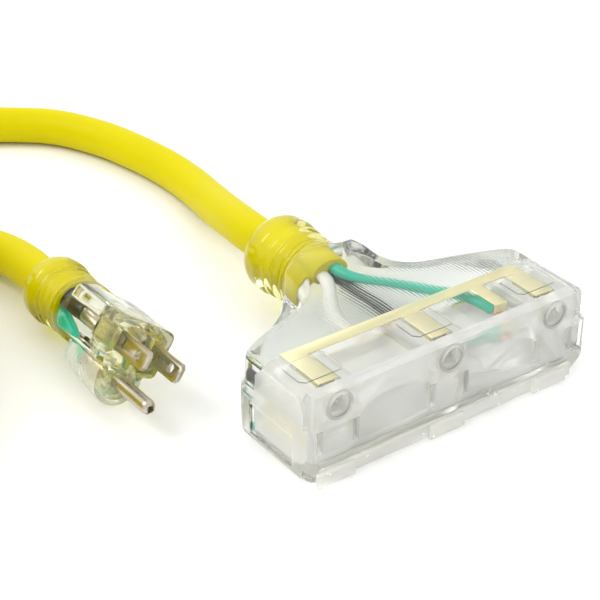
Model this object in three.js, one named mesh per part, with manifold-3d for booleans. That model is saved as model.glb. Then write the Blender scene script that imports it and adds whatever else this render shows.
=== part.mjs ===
// Triple-outlet extension cord: clear moulded power block, yellow cord, clear moulded plug.
// Millimetres, +Z up. The power block stands at the origin, its outlets face -Y and the cord
// leaves it towards +Y. The cord's spare length lies coiled to the left, and the plug lies
// beside the block.
import * as THREE from 'three';
import { mergeVertices } from 'three/addons/utils/BufferGeometryUtils.js';
import Module from 'manifold-3d';

const wasm = await Module();
wasm.setup();

// ---------------------------------------------------------------- driving dimensions
const GAP = 0.3;                 // clearance between neighbouring pieces
const BLADE_SPACING = 12.7;      // between the two flat blades, and between the two slots
const GROUND_OFFSET = 11.9;      // from the blades' line to the ground pin's axis
const OUTLET_PITCH = 40.6;
const OUTLETS = [-OUTLET_PITCH, 0, OUTLET_PITCH];

const BLOCK_DEPTH = 28;          // from the outlets' face to where the fan begins
const NECK_END = 68.6;           // where the block's neck meets the strain relief
const PAD_DEPTH = 3.2;           // pads that stand out under the outlets
const BLOCK_RELIEF_END = 93.4;   // rear end of the block's strain relief
const CORD_HEIGHT = 19;          // axis of the cord where it leaves the block
const GROUND_HEIGHT = 25;        // axis of the round ground holes
const SLOT_HEIGHT = GROUND_HEIGHT - GROUND_OFFSET;
const BLOCK_MIDDLE = (BLOCK_RELIEF_END - PAD_DEPTH) / 2;

const CORD_DIAMETER = 13.8;
const CORD_RADIUS = CORD_DIAMETER / 2;
const BORE_RADIUS = CORD_RADIUS + GAP;
const WIRE_RADIUS = 2.2;
const STRAND_RADIUS = 1.4;
const BUS_THICKNESS = 0.8;

const COIL_CENTRE = [-207, 155];
const COIL_INNER = 42.6;
const COIL_OUTER = 99;
const COIL_BOTTOM = 1.6;
const COIL_TOP = 56.9;
const TIE_ANGLE = 215;           // degrees round the coil, from +X
const TIE_WIDTH = 14;

const BLADE_WIDTH = 6.35;
const BLADE_THICKNESS = 1.5;
const BLADE_LENGTH = 17;
const GROUND_PIN_LENGTH = 20.6;
const GROUND_PIN_RADIUS = 2.4;
const PLUG_LENGTH = 59;          // from the plug's face to the end of its strain relief
const PLUG_CORD_OFFSET = 2;      // the cord's axis lies this far towards the ground pin

// ---------------------------------------------------------------- materials
const material = (color, roughness, metalness = 0, opacity = 1) =>
  new THREE.MeshStandardMaterial({
    color, roughness, metalness, opacity, transparent: opacity < 1,
  });
const clearPlastic = material('#dfe9e6', 0.18, 0, 0.35);
const clearSleeve = material('#e9ecdc', 0.18, 0, 0.35);
const innerPlastic = material('#eef0e8', 0.3, 0, 0.5);
const tintedPlastic = material('#dcd98f', 0.25, 0, 0.5);
const yellowJacket = material('#f0e800', 0.42);
const greenInsulation = material('#14c8a5', 0.4);
const blackInsulation = material('#23292e', 0.4);
const whiteInsulation = material('#e8e6dc', 0.4);
const brass = material('#d9c46a', 0.3, 1);
const nickel = material('#b5ab8c', 0.25, 1);
const copper = material('#c9825a', 0.35, 1);
const tieStrap = material('#2b2b2b', 0.7);

// ---------------------------------------------------------------- solids
function signedVolume(vertices, triangles) {
  const a = new THREE.Vector3();
  const b = new THREE.Vector3();
  const c = new THREE.Vector3();
  let volume = 0;
  for (let i = 0; i < triangles.length; i += 3) {
    a.fromArray(vertices, 3 * triangles[i]);
    b.fromArray(vertices, 3 * triangles[i + 1]);
    c.fromArray(vertices, 3 * triangles[i + 2]);
    volume += a.dot(b.cross(c)) / 6;
  }
  return volume;
}

/** A closed three.js geometry as a Manifold solid, facing out. */
function solid(geometry) {
  const bare = geometry.clone();
  bare.deleteAttribute('normal');
  bare.deleteAttribute('uv');
  const merged = mergeVertices(bare, 1e-4);
  const vertices = merged.attributes.position.array;
  const triangles = Uint32Array.from(merged.index.array);
  if (signedVolume(vertices, triangles) < 0) triangles.reverse();
  return new wasm.Manifold(new wasm.Mesh({
    numProp: 3, vertProperties: vertices, triVerts: triangles,
  }));
}

function geometryOf(manifold) {
  const mesh = manifold.getMesh();
  const geometry = new THREE.BufferGeometry();
  geometry.setAttribute('position', new THREE.BufferAttribute(mesh.vertProperties, 3));
  geometry.setIndex(new THREE.BufferAttribute(mesh.triVerts, 1));
  geometry.computeVertexNormals();
  return geometry;
}

function piece(name, manifold, look) {
  const mesh = new THREE.Mesh(geometryOf(manifold), look);
  mesh.name = name;
  return mesh;
}

/** A box between two corners. */
function box([x0, x1], [y0, y1], [z0, z1]) {
  const geometry = new THREE.BoxGeometry(x1 - x0, y1 - y0, z1 - z0);
  geometry.translate((x0 + x1) / 2, (y0 + y1) / 2, (z0 + z1) / 2);
  return solid(geometry);
}

const around = (middle, half) => [middle - half, middle + half];

/** An outline in X and Z, extruded from y0 to y1. */
function alongY(shape, y0, y1) {
  const geometry = new THREE.ExtrudeGeometry(shape, {
    depth: y1 - y0, bevelEnabled: false, curveSegments: 6,
  });
  geometry.rotateX(Math.PI / 2);
  geometry.translate(0, y1, 0);
  return solid(geometry);
}

/** An outline in X and Y, extruded from z0 to z1. */
function alongZ(shape, z0, z1, curveSegments = 6) {
  const geometry = new THREE.ExtrudeGeometry(shape, {
    depth: z1 - z0, bevelEnabled: false, curveSegments,
  });
  geometry.translate(0, 0, z0);
  return solid(geometry);
}

const polygon = (points) => new THREE.Shape(points.map(([x, y]) => new THREE.Vector2(x, y)));

function roundedRectangle([x0, x1], [y0, y1], r) {
  const shape = new THREE.Shape();
  shape.moveTo(x0 + r, y0);
  shape.lineTo(x1 - r, y0);
  shape.absarc(x1 - r, y0 + r, r, -Math.PI / 2, 0);
  shape.lineTo(x1, y1 - r);
  shape.absarc(x1 - r, y1 - r, r, 0, Math.PI / 2);
  shape.lineTo(x0 + r, y1);
  shape.absarc(x0 + r, y1 - r, r, Math.PI / 2, Math.PI);
  shape.lineTo(x0, y0 + r);
  shape.absarc(x0 + r, y0 + r, r, Math.PI, Math.PI * 1.5);
  return shape;
}

/** A profile of [radius, height] turned about the Y axis. */
function turned(profile, segments = 28) {
  return solid(new THREE.LatheGeometry(profile.map(([r, h]) => new THREE.Vector2(r, h)), segments));
}

const sleeve = (outer, bore) => {
  const [first] = outer;
  const last = outer[outer.length - 1];
  return turned([[bore, first[1]], ...outer, [bore, last[1]], [bore, first[1]]]);
};

const rod = (radius, from, to, segments = 20) =>
  turned([[0, from], [radius, from], [radius, to], [0, to]], segments);

/** A round tube along a smooth curve through the points. */
function tube(points, radius, sides, steps) {
  const path = new THREE.CatmullRomCurve3(
    points.map((p) => new THREE.Vector3(...p)), false, 'centripetal');
  const section = new THREE.Shape();
  section.absarc(0, 0, radius, 0, Math.PI * 2);
  return solid(new THREE.ExtrudeGeometry(section, {
    steps, extrudePath: path, bevelEnabled: false, curveSegments: sides,
  }));
}

/** A closed skin through rings that all have the same number of points. */
function loft(rings) {
  const count = rings[0].length;
  const geometry = new THREE.BufferGeometry();
  geometry.setAttribute('position', new THREE.Float32BufferAttribute(rings.flat(2), 3));
  const triangles = [];
  for (let r = 0; r + 1 < rings.length; r += 1) {
    for (let i = 0; i < count; i += 1) {
      const a = r * count + i;
      const b = r * count + ((i + 1) % count);
      triangles.push(a, b, a + count, b, b + count, a + count);
    }
  }
  const outline = rings[0].map(([x, , z]) => new THREE.Vector2(x, z));
  for (const [a, b, c] of THREE.ShapeUtils.triangulateShape(outline, [])) {
    const last = (rings.length - 1) * count;
    triangles.push(a, c, b, last + a, last + b, last + c);
  }
  geometry.setIndex(triangles);
  return solid(geometry);
}

// ---------------------------------------------------------------- power block
/** One cross-section of the block: half widths and heights of its base, sides and top. */
function blockSection(y, { base, side, top, bottom, low, step, shoulder, height }) {
  const right = [
    [base, bottom], [side, low], [side, step], [top + (side - top) * 0.1, step + 2],
    [top, shoulder], [top - (height - shoulder), height],
  ];
  const left = right.map(([x, z]) => [-x, z]).reverse();
  return [...right, ...left].map(([x, z]) => [x, y, z]);
}

function roundSection(y, radius) {
  const corners = [-70, -35, -5, 20, 45, 72];
  const right = corners.map((a) => THREE.MathUtils.degToRad(a))
    .map((a) => [radius * Math.cos(a), CORD_HEIGHT + radius * Math.sin(a)]);
  const left = right.map(([x, z]) => [-x, z]).reverse();
  return [...right, ...left].map(([x, z]) => [x, y, z]);
}

const BLOCK_SECTIONS = [
  [0, [49.4, 54.2, 51.8, 0, 4.2, 18.4, 28.6, 30]],
  [BLOCK_DEPTH, [49.4, 54.2, 51.8, 0, 4.2, 18.4, 28.6, 30]],
  [32, [47.0, 52.2, 50.0, 0.8, 5.0, 18.4, 28.4, 29.8]],
  [37.5, [42.0, 47.2, 38.0, 2.2, 6.4, 17.8, 27.8, 29.3]],
  [42.5, [36.5, 42.6, 24.5, 3.2, 7.2, 17.2, 27.2, 29.0]],
  [47, [30.0, 37.0, 18.6, 3.8, 7.8, 16.8, 27.2, 29.2]],
  [52.5, [21.0, 28.6, 15.8, 4.4, 8.2, 16.6, 27.6, 30.2]],
  [58, [14.0, 20.0, 15.2, 5.0, 8.6, 17.0, 28.2, 31.2]],
  [63, [9.5, 15.6, 14.6, 5.8, 9.4, 18.0, 28.2, 31.3]],
];
const NECK_RADIUS = 12.4;

const LEDGE_HEIGHT = 5;
const LEDGE_DEPTH = 1.6;
const POCKET_HALF = 49.5;
const POCKET_FLOOR = 6.5;
const POCKET_CEILING = 28.9;
const POCKET_END = 26;
const WIRE_SPACE = polygon([
  [-20, 25.5], [31, 25.5], [30, 33], [21, 45], [10, 56.5], [7.2, 61], [7.2, 64.2],
  [-7.2, 64.2], [-7.2, 61], [-10.5, 56.5], [-18, 45], [-20, 38],
]);

function blockBody() {
  const keys = ['base', 'side', 'top', 'bottom', 'low', 'step', 'shoulder', 'height'];
  const rings = BLOCK_SECTIONS.map(([y, sizes]) =>
    blockSection(y, Object.fromEntries(keys.map((key, i) => [key, sizes[i]]))));
  rings.push(roundSection(NECK_END - 1.2, NECK_RADIUS), roundSection(NECK_END, NECK_RADIUS - 0.4));
  let body = loft(rings);
  const ledge = box(around(0, 48), [-LEDGE_DEPTH, 1], [0, LEDGE_HEIGHT]);
  body = body.add(ledge);
  for (const x of OUTLETS) {
    body = body.add(box([x - 9.4, x + 4], [-PAD_DEPTH, 1], [0, LEDGE_HEIGHT + 0.2]));
  }
  const bore = rod(BORE_RADIUS, 60, NECK_END + 1, 24).translate([0, 0, CORD_HEIGHT]);
  return body
    .subtract(box(around(0, POCKET_HALF), [-1, POCKET_END], [POCKET_FLOOR, POCKET_CEILING]))
    .subtract(alongZ(WIRE_SPACE, CORD_HEIGHT - 8.5, CORD_HEIGHT + 7.2))
    .subtract(bore);
}

const INSERT_HALF = POCKET_HALF - GAP;
const INSERT_FLOOR = POCKET_FLOOR + GAP;
const FACE_THICKNESS = 4;
const SLOT_HALF = [1.3, 4.1];
const GROUND_HALF = [3.1, 3.2];

function faceInsert() {
  let face = box(around(0, INSERT_HALF), [0, FACE_THICKNESS], [INSERT_FLOOR, POCKET_CEILING - GAP]);
  for (const x of OUTLETS) {
    for (const side of [-1, 1]) {
      face = face.subtract(box(
        around(x + side * BLADE_SPACING / 2, SLOT_HALF[0]), [-1, FACE_THICKNESS + 1],
        around(SLOT_HEIGHT, SLOT_HALF[1])));
    }
    const hole = roundedRectangle(
      around(x, GROUND_HALF[0]), around(GROUND_HEIGHT - 0.5, GROUND_HALF[1]), 1.4);
    face = face.subtract(alongY(hole, -1, FACE_THICKNESS + 1));
  }
  return face;
}

const CONTACT_FLOOR = 10.2;
const CONTACT_TOP = 16.2;
const CONTACT_HALF = 1.9;
const BUS_PLANE = [21.2, 22];
const GROUND_BUS_TOP = 28.6;
const GROUND_BUS_UNDER = GROUND_BUS_TOP - BUS_THICKNESS;

const DECK_HEIGHT = 19.4;
const TOWER_HALF = 8.6;

function rearInsert() {
  const start = FACE_THICKNESS + GAP;
  const end = POCKET_END - GAP;
  let block = box(around(0, INSERT_HALF), [start, end], [INSERT_FLOOR, DECK_HEIGHT]);
  for (const x of OUTLETS) {
    const tower = roundedRectangle(
      around(x, TOWER_HALF), [DECK_HEIGHT - 6, GROUND_BUS_UNDER - GAP], 3);
    block = block.add(alongY(tower, start, end - 2));
  }
  for (const x of OUTLETS) {
    for (const side of [-1, 1]) {
      block = block.subtract(box(
        around(x + side * BLADE_SPACING / 2, CONTACT_HALF + 0.7), [start - 1, BUS_PLANE[0] + 1],
        [CONTACT_FLOOR - GAP, CONTACT_TOP + GAP]));
    }
    block = block.subtract(box(around(x, 4.2), [start - 1, 18.5], [20.6, GROUND_BUS_TOP]));
  }
  const busGroove = box(around(0, INSERT_HALF + 1), [20.8, end + 1], [8, 19]);
  const wirePocket = box([17.4, 32.5], [5.6, end + 1], [17.2, GROUND_BUS_TOP]);
  return block.subtract(busGroove).subtract(wirePocket);
}

/** Two leaves that grip a blade, joined behind by a riser that reaches its bus strip. */
function bladeContact(x, floor, top) {
  const riser = box(around(x, CONTACT_HALF), BUS_PLANE, [floor, top]);
  const leaf = (side) => {
    const inner = side * (CONTACT_HALF - BUS_THICKNESS);
    const outer = side * CONTACT_HALF;
    return box(
      [x + Math.min(inner, outer), x + Math.max(inner, outer)], [6, BUS_PLANE[1]],
      [CONTACT_FLOOR, CONTACT_TOP]);
  };
  return riser.add(leaf(-1)).add(leaf(1));
}

function bladeBus(side, floor, top) {
  const reach = OUTLET_PITCH + CONTACT_HALF;
  const shift = side * BLADE_SPACING / 2;
  let bus = box([shift - reach, shift + reach], BUS_PLANE, [floor, top]);
  for (const x of OUTLETS) {
    bus = bus.add(bladeContact(
      x + shift, Math.min(floor, CONTACT_FLOOR), Math.max(top, CONTACT_TOP)));
  }
  return bus;
}

const GROUND_LEAF = [2.6, 3.4];

function groundBus() {
  const plate = [GROUND_BUS_UNDER, GROUND_BUS_TOP];
  let bus = box(around(0, OUTLET_PITCH + GROUND_LEAF[1]), [19.5, 24], plate);
  for (const x of OUTLETS) {
    bus = bus.add(box(around(x, GROUND_LEAF[1]), [5.2, 20], plate));
    for (const side of [-1, 1]) {
      const edges = GROUND_LEAF.map((edge) => x + side * edge).sort((a, b) => a - b);
      bus = bus.add(box(edges, [6, 16], [21.4, GROUND_BUS_TOP]));
    }
  }
  const wireTab = box([23.6, 28.2], [8, 20], plate);
  const wireLug = box([23.6, 28.2], [8, 8 + BUS_THICKNESS], [21.8, GROUND_BUS_TOP]);
  return bus.add(wireTab).add(wireLug);
}

/** Stacked rings for grip and bending: an outline of [radius, distance] along the cord. */
function reliefOutline(bead) {
  return [
    [bead - 1.2, 0], [bead - 1.2, 1.1], [bead - 2.2, 2.3], [bead - 2.2, 3.5],
    [bead - 1, 4.7], [bead - 1, 5.7], [bead - 2, 6.7], [bead - 2, 7.7],
    [bead - 0.7, 8.9], [bead - 0.7, 9.9], [bead - 1.6, 10.9], [bead - 0.9, 11.9],
    [bead, 13.4], [bead, 17.6], [bead - 0.7, 19.7], [bead - 2.7, 22.3], [bead - 5.1, 24.5],
  ];
}

const BLOCK_BEAD = 13.5;

function blockRelief() {
  const start = NECK_END + GAP;
  const stretch = (BLOCK_RELIEF_END - start) / 24.5;
  const outline = reliefOutline(BLOCK_BEAD).map(([r, h]) => [r, start + h * stretch]);
  return sleeve(outline, BORE_RADIUS).translate([0, 0, CORD_HEIGHT]);
}

const BLOCK_JACKET_START = 60.4;
const blockJacket = () =>
  rod(CORD_RADIUS, BLOCK_JACKET_START, BLOCK_RELIEF_END, 20).translate([0, 0, CORD_HEIGHT]);

const BLOCK_WIRES = {
  green: {
    look: greenInsulation,
    insulation: [
      [1.8, 59.5, 21], [1.9, 57.6, 20.8], [3.4, 53.5, 20.3], [5.9, 49, 20], [9.5, 43.7, 20],
      [14.1, 36.7, 20], [17.8, 31, 20.4], [21, 26, 21.2], [23.8, 20, 21.5], [25.4, 14, 20.8],
      [25.8, 11, 20],
    ],
    strands: [[25.8, 10.7, 20], [25.9, 8.5, 19.8], [26, 6.3, 19.8]],
  },
  black: {
    look: blackInsulation,
    insulation: [
      [1.4, 59.5, 16.2], [1.5, 57.6, 16], [1.9, 49, 15.4], [1.7, 42, 15.2], [1.8, 34, 14.8],
      [1.4, 28.5, 14],
    ],
    strands: [[1.4, 28.1, 13.9], [1.3, 25.8, 12.8], [1.2, 23.6, 10.4]],
  },
  white: {
    look: whiteInsulation,
    insulation: [
      [-3.2, 59.5, 19], [-3.5, 57.6, 19], [-6.4, 51, 18.6], [-11, 43, 18],
      [-14.4, 35.5, 17.6], [-15, 28.5, 17.6],
    ],
    strands: [[-15, 28.2, 17.6], [-15, 25.4, 17.6], [-15, 22.6, 17.6]],
  },
};

function wires(prefix, table) {
  return Object.entries(table).flatMap(([colour, { look, insulation, strands }]) => [
    piece(`${prefix}_wire_${colour}`, tube(insulation, WIRE_RADIUS, 5, 12), look),
    piece(`${prefix}_strands_${colour}`, tube(strands, STRAND_RADIUS, 4, 3), copper),
  ]);
}

function powerBlock() {
  const group = new THREE.Group();
  group.add(
    piece('block_body', blockBody(), clearPlastic),
    piece('block_face_insert', faceInsert(), innerPlastic),
    piece('block_rear_insert', rearInsert(), innerPlastic),
    piece('block_ground_bus', groundBus(), brass),
    piece('block_hot_bus', bladeBus(-1, 8.3, 9.9), brass),
    piece('block_neutral_bus', bladeBus(1, 16.5, 18.7), brass),
    piece('block_strain_relief', blockRelief(), clearSleeve),
    piece('block_jacket_end', blockJacket(), yellowJacket),
    ...wires('block', BLOCK_WIRES),
  );
  return group;
}

// ---------------------------------------------------------------- plug
// The plug is built in its own frame: X from the blades towards the ground pin, Y from one
// blade to the other, Z out of the face along the blades.
const PLUG_PLACE = [-66.66, 66.12, 18.35];   // middle of the face, on the blades' line
const PLUG_HEADING = 2.29;                   // degrees, from -Y towards -X
const PLUG_TILT = 4.75;                      // degrees, blades upwards
const PLUG_ROLL = 37.61;                     // degrees, ground pin from straight down to -X

const PLUG_BODY_V = [-7.8, 8];
const PLUG_BODY_U = 11.7;
const LOBE_LENGTH = 25;
const LOBE_FRONT = { offset: GROUND_OFFSET, radius: 8.3 };
const LOBE_REAR = { offset: GROUND_OFFSET - 1.3, radius: 6.9 };
const PLUG_SQUARE_LENGTH = 28;
const PLUG_BARREL_RADIUS = 10.4;
const PLUG_BARREL_END = -37.2;
const CORE_DEPTH = 8;
const PLUG_BEAD = 11.5;

/** A round bar along the plug's Z. */
const bar = (radius, w0, w1, segments = 20) => rod(radius, w0, w1, segments).rotate([90, 0, 0]);

/** The half-round grip over the ground pin, slimmer towards the cord. */
function plugLobe(inset, w0, w1) {
  const sides = 32;
  const ring = (w) => {
    const back = Math.max(0, -w) / LOBE_LENGTH;
    const offset = THREE.MathUtils.lerp(LOBE_FRONT.offset, LOBE_REAR.offset, back);
    const radius = THREE.MathUtils.lerp(LOBE_FRONT.radius, LOBE_REAR.radius, back) - inset;
    return Array.from({ length: sides }, (_, i) => {
      const angle = i * 2 * Math.PI / sides;
      return [offset + radius * Math.cos(angle), w, radius * Math.sin(angle)];
    });
  };
  return loft([ring(w0), ring(w1)]).rotate([90, 0, 0]);
}

/** The plug's front outline, a rounded block with the ground lobe, drawn in by an inset. */
function plugPrism(inset, w0, w1) {
  const block = roundedRectangle(
    [PLUG_BODY_V[0] + inset, PLUG_BODY_V[1] - inset],
    [-PLUG_BODY_U + inset, PLUG_BODY_U - inset], 2.6 - inset * 0.5);
  const web = box([0, LOBE_REAR.offset], around(0, 6.4 - inset), [w0, w1]);
  return alongZ(block, w0, w1).add(plugLobe(inset, w0, w1)).add(web);
}

function plugBody() {
  const square = roundedRectangle(PLUG_BODY_V, around(0, PLUG_BODY_U - 1.2), 4);
  const barrel = bar(PLUG_BARREL_RADIUS, PLUG_BARREL_END, -24, 28);
  const wireRoom = bar(8.5, -32, -20, 24);
  const bore = bar(BORE_RADIUS, PLUG_BARREL_END - 1, -30.5, 24);
  return plugPrism(0, -LOBE_LENGTH, 0)
    .add(alongZ(square, -PLUG_SQUARE_LENGTH, -LOBE_LENGTH + 2))
    .add(barrel.translate([PLUG_CORD_OFFSET, 0, 0]))
    .subtract(plugPrism(2, -LOBE_LENGTH + 1.4, 1))
    .subtract(wireRoom.translate([PLUG_CORD_OFFSET, 0, 0]))
    .subtract(bore.translate([PLUG_CORD_OFFSET, 0, 0]));
}

function plugCore() {
  let core = plugPrism(2 + GAP, -CORE_DEPTH, 0);
  for (const side of [-1, 1]) {
    core = core.subtract(box(
      around(0, BLADE_WIDTH / 2 + GAP),
      around(side * BLADE_SPACING / 2, BLADE_THICKNESS / 2 + GAP), [-CORE_DEPTH - 1, 1]));
  }
  const hole = bar(GROUND_PIN_RADIUS + GAP, -CORE_DEPTH - 1, 1, 20);
  return core.subtract(hole.translate([GROUND_OFFSET, 0, 0]));
}

const CRIMP_OUTER = 2.5;
const CRIMP_BORE = 1.75;

/** An open barrel round the stripped strands, behind a blade or a pin. */
function crimp(w0, w1) {
  return sleeve([[CRIMP_OUTER, w0], [CRIMP_OUTER, w1]], CRIMP_BORE).rotate([90, 0, 0]);
}

function blade(side) {
  const u = side * BLADE_SPACING / 2;
  const half = BLADE_WIDTH / 2;
  const tip = 1.2;
  const face = polygon([
    [-half, -10.4], [half, -10.4], [half, BLADE_LENGTH - tip], [half - tip, BLADE_LENGTH],
    [tip - half, BLADE_LENGTH], [-half, BLADE_LENGTH - tip],
  ]);
  const flat = alongY(face, u - BLADE_THICKNESS / 2, u + BLADE_THICKNESS / 2);
  const hole = rod(1.6, u - 2, u + 2, 16).translate([0, 0, 12]);
  const slit = box(around(-0.5, 1.6), around(u, 2), around(3.3, 0.45));
  return flat.subtract(hole).subtract(slit).add(crimp(-19, -9.6).translate([0, u, 0]));
}

function groundPin() {
  const r = GROUND_PIN_RADIUS;
  const shaft = GROUND_PIN_LENGTH - r;
  const bore = 1.1;
  const outline = [[bore, -10.4], [r, -10.4], [r, shaft]];
  for (const degrees of [22.5, 45, 62]) {
    const angle = THREE.MathUtils.degToRad(degrees);
    outline.push([r * Math.cos(angle), shaft + r * Math.sin(angle)]);
  }
  outline.push([bore, shaft + r * 0.86], [bore, -10.4]);
  const pin = turned(outline, 20).rotate([90, 0, 0]);
  const seam = box([0, r + 1], around(0, 0.3), [-12, GROUND_PIN_LENGTH + 1]);
  return pin.subtract(seam).add(crimp(-17, -9.6)).translate([GROUND_OFFSET, 0, 0]);
}

function plugRelief() {
  const start = -PLUG_BARREL_END + GAP;
  const stretch = (PLUG_LENGTH - start) / 24.5;
  const outline = reliefOutline(PLUG_BEAD)
    .map(([r, h]) => [Math.max(r, BORE_RADIUS + 1.2), start + h * stretch]);
  return sleeve(outline, BORE_RADIUS).rotate([-90, 0, 0]).translate([PLUG_CORD_OFFSET, 0, 0]);
}

const PLUG_JACKET_START = -36.5;
const plugJacket = () =>
  bar(CORD_RADIUS, -PLUG_LENGTH, PLUG_JACKET_START).translate([PLUG_CORD_OFFSET, 0, 0]);

const PLUG_WIRES = {
  green: {
    look: greenInsulation,
    insulation: [
      [4.5, 0, -35.8], [4.6, 0, -34.4], [5.9, 0, -30], [6.8, 0, -27], [7.4, 0, -25],
      [8.9, 0, -22], [10.9, 0, -19.8], [11.8, 0, -18.6], [11.9, 0, -17.8],
    ],
    strands: [[11.9, 0, -17.4], [11.9, 0, -14], [11.9, 0, -10.7]],
  },
  black: {
    look: blackInsulation,
    insulation: [
      [0.6, -2.6, -35.8], [0.6, -2.7, -34.4], [0.5, -3.8, -29.5], [0.4, -5.2, -24.5],
      [0, -6.35, -19.6],
    ],
    strands: [[0, -6.35, -19.3], [0, -6.35, -15], [0, -6.35, -10.7]],
  },
  white: {
    look: whiteInsulation,
    insulation: [
      [0.6, 2.6, -35.8], [0.6, 2.7, -34.4], [0.5, 3.8, -29.5], [0.4, 5.2, -24.5],
      [0, 6.35, -19.6],
    ],
    strands: [[0, 6.35, -19.3], [0, 6.35, -15], [0, 6.35, -10.7]],
  },
};

function plug() {
  const group = new THREE.Group();
  group.add(
    piece('plug_body', plugBody(), clearPlastic),
    piece('plug_core', plugCore(), tintedPlastic),
    piece('plug_blade_hot', blade(-1), nickel),
    piece('plug_blade_neutral', blade(1), nickel),
    piece('plug_ground_pin', groundPin(), nickel),
    piece('plug_strain_relief', plugRelief(), clearSleeve),
    piece('plug_jacket_end', plugJacket(), yellowJacket),
    ...wires('plug', PLUG_WIRES),
  );
  const heading = THREE.MathUtils.degToRad(PLUG_HEADING);
  const tilt = THREE.MathUtils.degToRad(PLUG_TILT);
  const roll = THREE.MathUtils.degToRad(PLUG_ROLL);
  const out = new THREE.Vector3(
    -Math.sin(heading) * Math.cos(tilt), -Math.cos(heading) * Math.cos(tilt), Math.sin(tilt));
  const level = new THREE.Vector3().crossVectors(out, new THREE.Vector3(0, 0, 1)).normalize();
  const up = new THREE.Vector3().crossVectors(level, out);
  const ground = level.clone().multiplyScalar(Math.sin(roll)).addScaledVector(up, -Math.cos(roll));
  const across = new THREE.Vector3().crossVectors(out, ground);
  group.quaternion.setFromRotationMatrix(new THREE.Matrix4().makeBasis(ground, across, out));
  group.position.set(...PLUG_PLACE);
  return group;
}

// ---------------------------------------------------------------- cord
// From the power block's strain relief, over the floor and up to the top turn of the coil.
const LEAD_ROUTE = [
  [0, 93.7, 19], [0, 97, 19], [0.9, 106, 18.2], [3.4, 118, 16], [7.2, 132, 12.6],
  [11.4, 148, 9.4], [14.4, 165, 7.5], [14.6, 182, 7], [12, 200, 7], [7.2, 218.5, 7], [-2.8, 238, 7],
  [-18.7, 251.4, 7.2], [-37.5, 260.5, 9.4], [-58.4, 262, 14.5], [-79.2, 255, 22.5],
  [-95, 241.3, 31.5], [-104, 224.4, 40], [-106.7, 207.4, 46.5], [-106.7, 190, 49.9],
];
// From the bottom turn of the coil over the floor to the plug's strain relief.
const TAIL_ROUTE = [
  [-157.1, 248.8, 8.5], [-139.5, 238.8, 8.1], [-118.5, 225.5, 7.4], [-98, 209.5, 7],
  [-82, 192, 7], [-71.5, 173, 7.3], [-66.3, 157, 8.8], [-64.9, 144.5, 10.2],
  [-65.26, 131.76, 11.31], [-65.52, 125.09, 11.86],
];

function coilRing() {
  const section = [
    [COIL_INNER, COIL_BOTTOM], [COIL_OUTER, COIL_BOTTOM], [COIL_OUTER, COIL_TOP],
    [COIL_INNER, COIL_TOP], [COIL_INNER, COIL_BOTTOM],
  ];
  return turned(section, 40).rotate([90, 0, 0]).translate([...COIL_CENTRE, 0]);
}

/** A flat strap closed round the bundle of turns. */
function coilTie() {
  const slack = 0.7;
  const thickness = 0.8;
  const inner = box(
    [COIL_INNER - slack - 0.7, COIL_OUTER + slack], around(0, TIE_WIDTH),
    [COIL_BOTTOM - 0.5, COIL_TOP + 0.5]);
  const outer = box(
    [COIL_INNER - slack - 0.7 - thickness, COIL_OUTER + slack + thickness],
    around(0, TIE_WIDTH / 2),
    [COIL_BOTTOM - 0.5 - thickness, COIL_TOP + 0.5 + thickness]);
  return outer.subtract(inner).rotate([0, 0, TIE_ANGLE]).translate([...COIL_CENTRE, 0]);
}

function cord() {
  const group = new THREE.Group();
  group.add(
    piece('cord_lead', tube(LEAD_ROUTE, CORD_RADIUS, 5, 24), yellowJacket),
    piece('cord_coil', coilRing(), yellowJacket),
    piece('cord_tail', tube(TAIL_ROUTE, CORD_RADIUS, 5, 12), yellowJacket),
    piece('coil_tie', coilTie(), tieStrap),
  );
  return group;
}

const extensionCord = new THREE.Group();
extensionCord.add(powerBlock(), plug(), cord());
extensionCord.position.y = -BLOCK_MIDDLE;

export default extensionCord;
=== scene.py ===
"""A heavy extension cord: clear three-outlet power block, yellow cord and clear plug."""
import math

import bmesh
import bpy
from mathutils import Matrix, Vector


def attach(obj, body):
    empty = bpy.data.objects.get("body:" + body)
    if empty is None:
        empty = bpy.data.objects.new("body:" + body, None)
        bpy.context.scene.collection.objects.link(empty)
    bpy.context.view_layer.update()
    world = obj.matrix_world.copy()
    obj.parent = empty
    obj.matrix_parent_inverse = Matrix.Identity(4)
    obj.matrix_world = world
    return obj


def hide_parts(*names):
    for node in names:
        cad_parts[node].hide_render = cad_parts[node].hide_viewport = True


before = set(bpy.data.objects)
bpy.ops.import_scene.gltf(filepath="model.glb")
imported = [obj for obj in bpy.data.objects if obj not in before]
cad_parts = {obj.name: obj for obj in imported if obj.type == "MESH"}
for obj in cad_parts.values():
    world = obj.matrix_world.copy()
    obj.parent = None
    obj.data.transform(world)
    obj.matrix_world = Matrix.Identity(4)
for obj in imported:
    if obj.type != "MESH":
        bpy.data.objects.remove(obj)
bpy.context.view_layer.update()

bl_info = {
    "name": "Extension Cord Maker",
    "version": (1, 0, 0),
    "blender": (4, 5, 0),
    "location": "3D View > Sidebar > Extension Cord",
    "description": "Builds a clear three-outlet extension cord piece by piece",
    "category": "Object",
}

MM = 0.001
BLOCK_MIDDLE = 45.1      # from the outlets' face to the origin, in mm
CORD_HEIGHT = 19.0
BLADE_SPACING = 12.7
GROUND_OFFSET = 11.9
OUTLETS = (-40.6, 0.0, 40.6)
GROUND_HEIGHT = 25.0
SLOT_HEIGHT = GROUND_HEIGHT - GROUND_OFFSET
NECK_END = 68.6
BLOCK_RELIEF_END = 93.4
PLUG_RELIEF_START = 37.5
PLUG_LENGTH = 59.0
PLUG_CORD_OFFSET = 2.0
RELIEF_BORE = 6.7
RELIEF_LENGTH = 24.5      # that the reliefs' outline is drawn at


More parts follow.
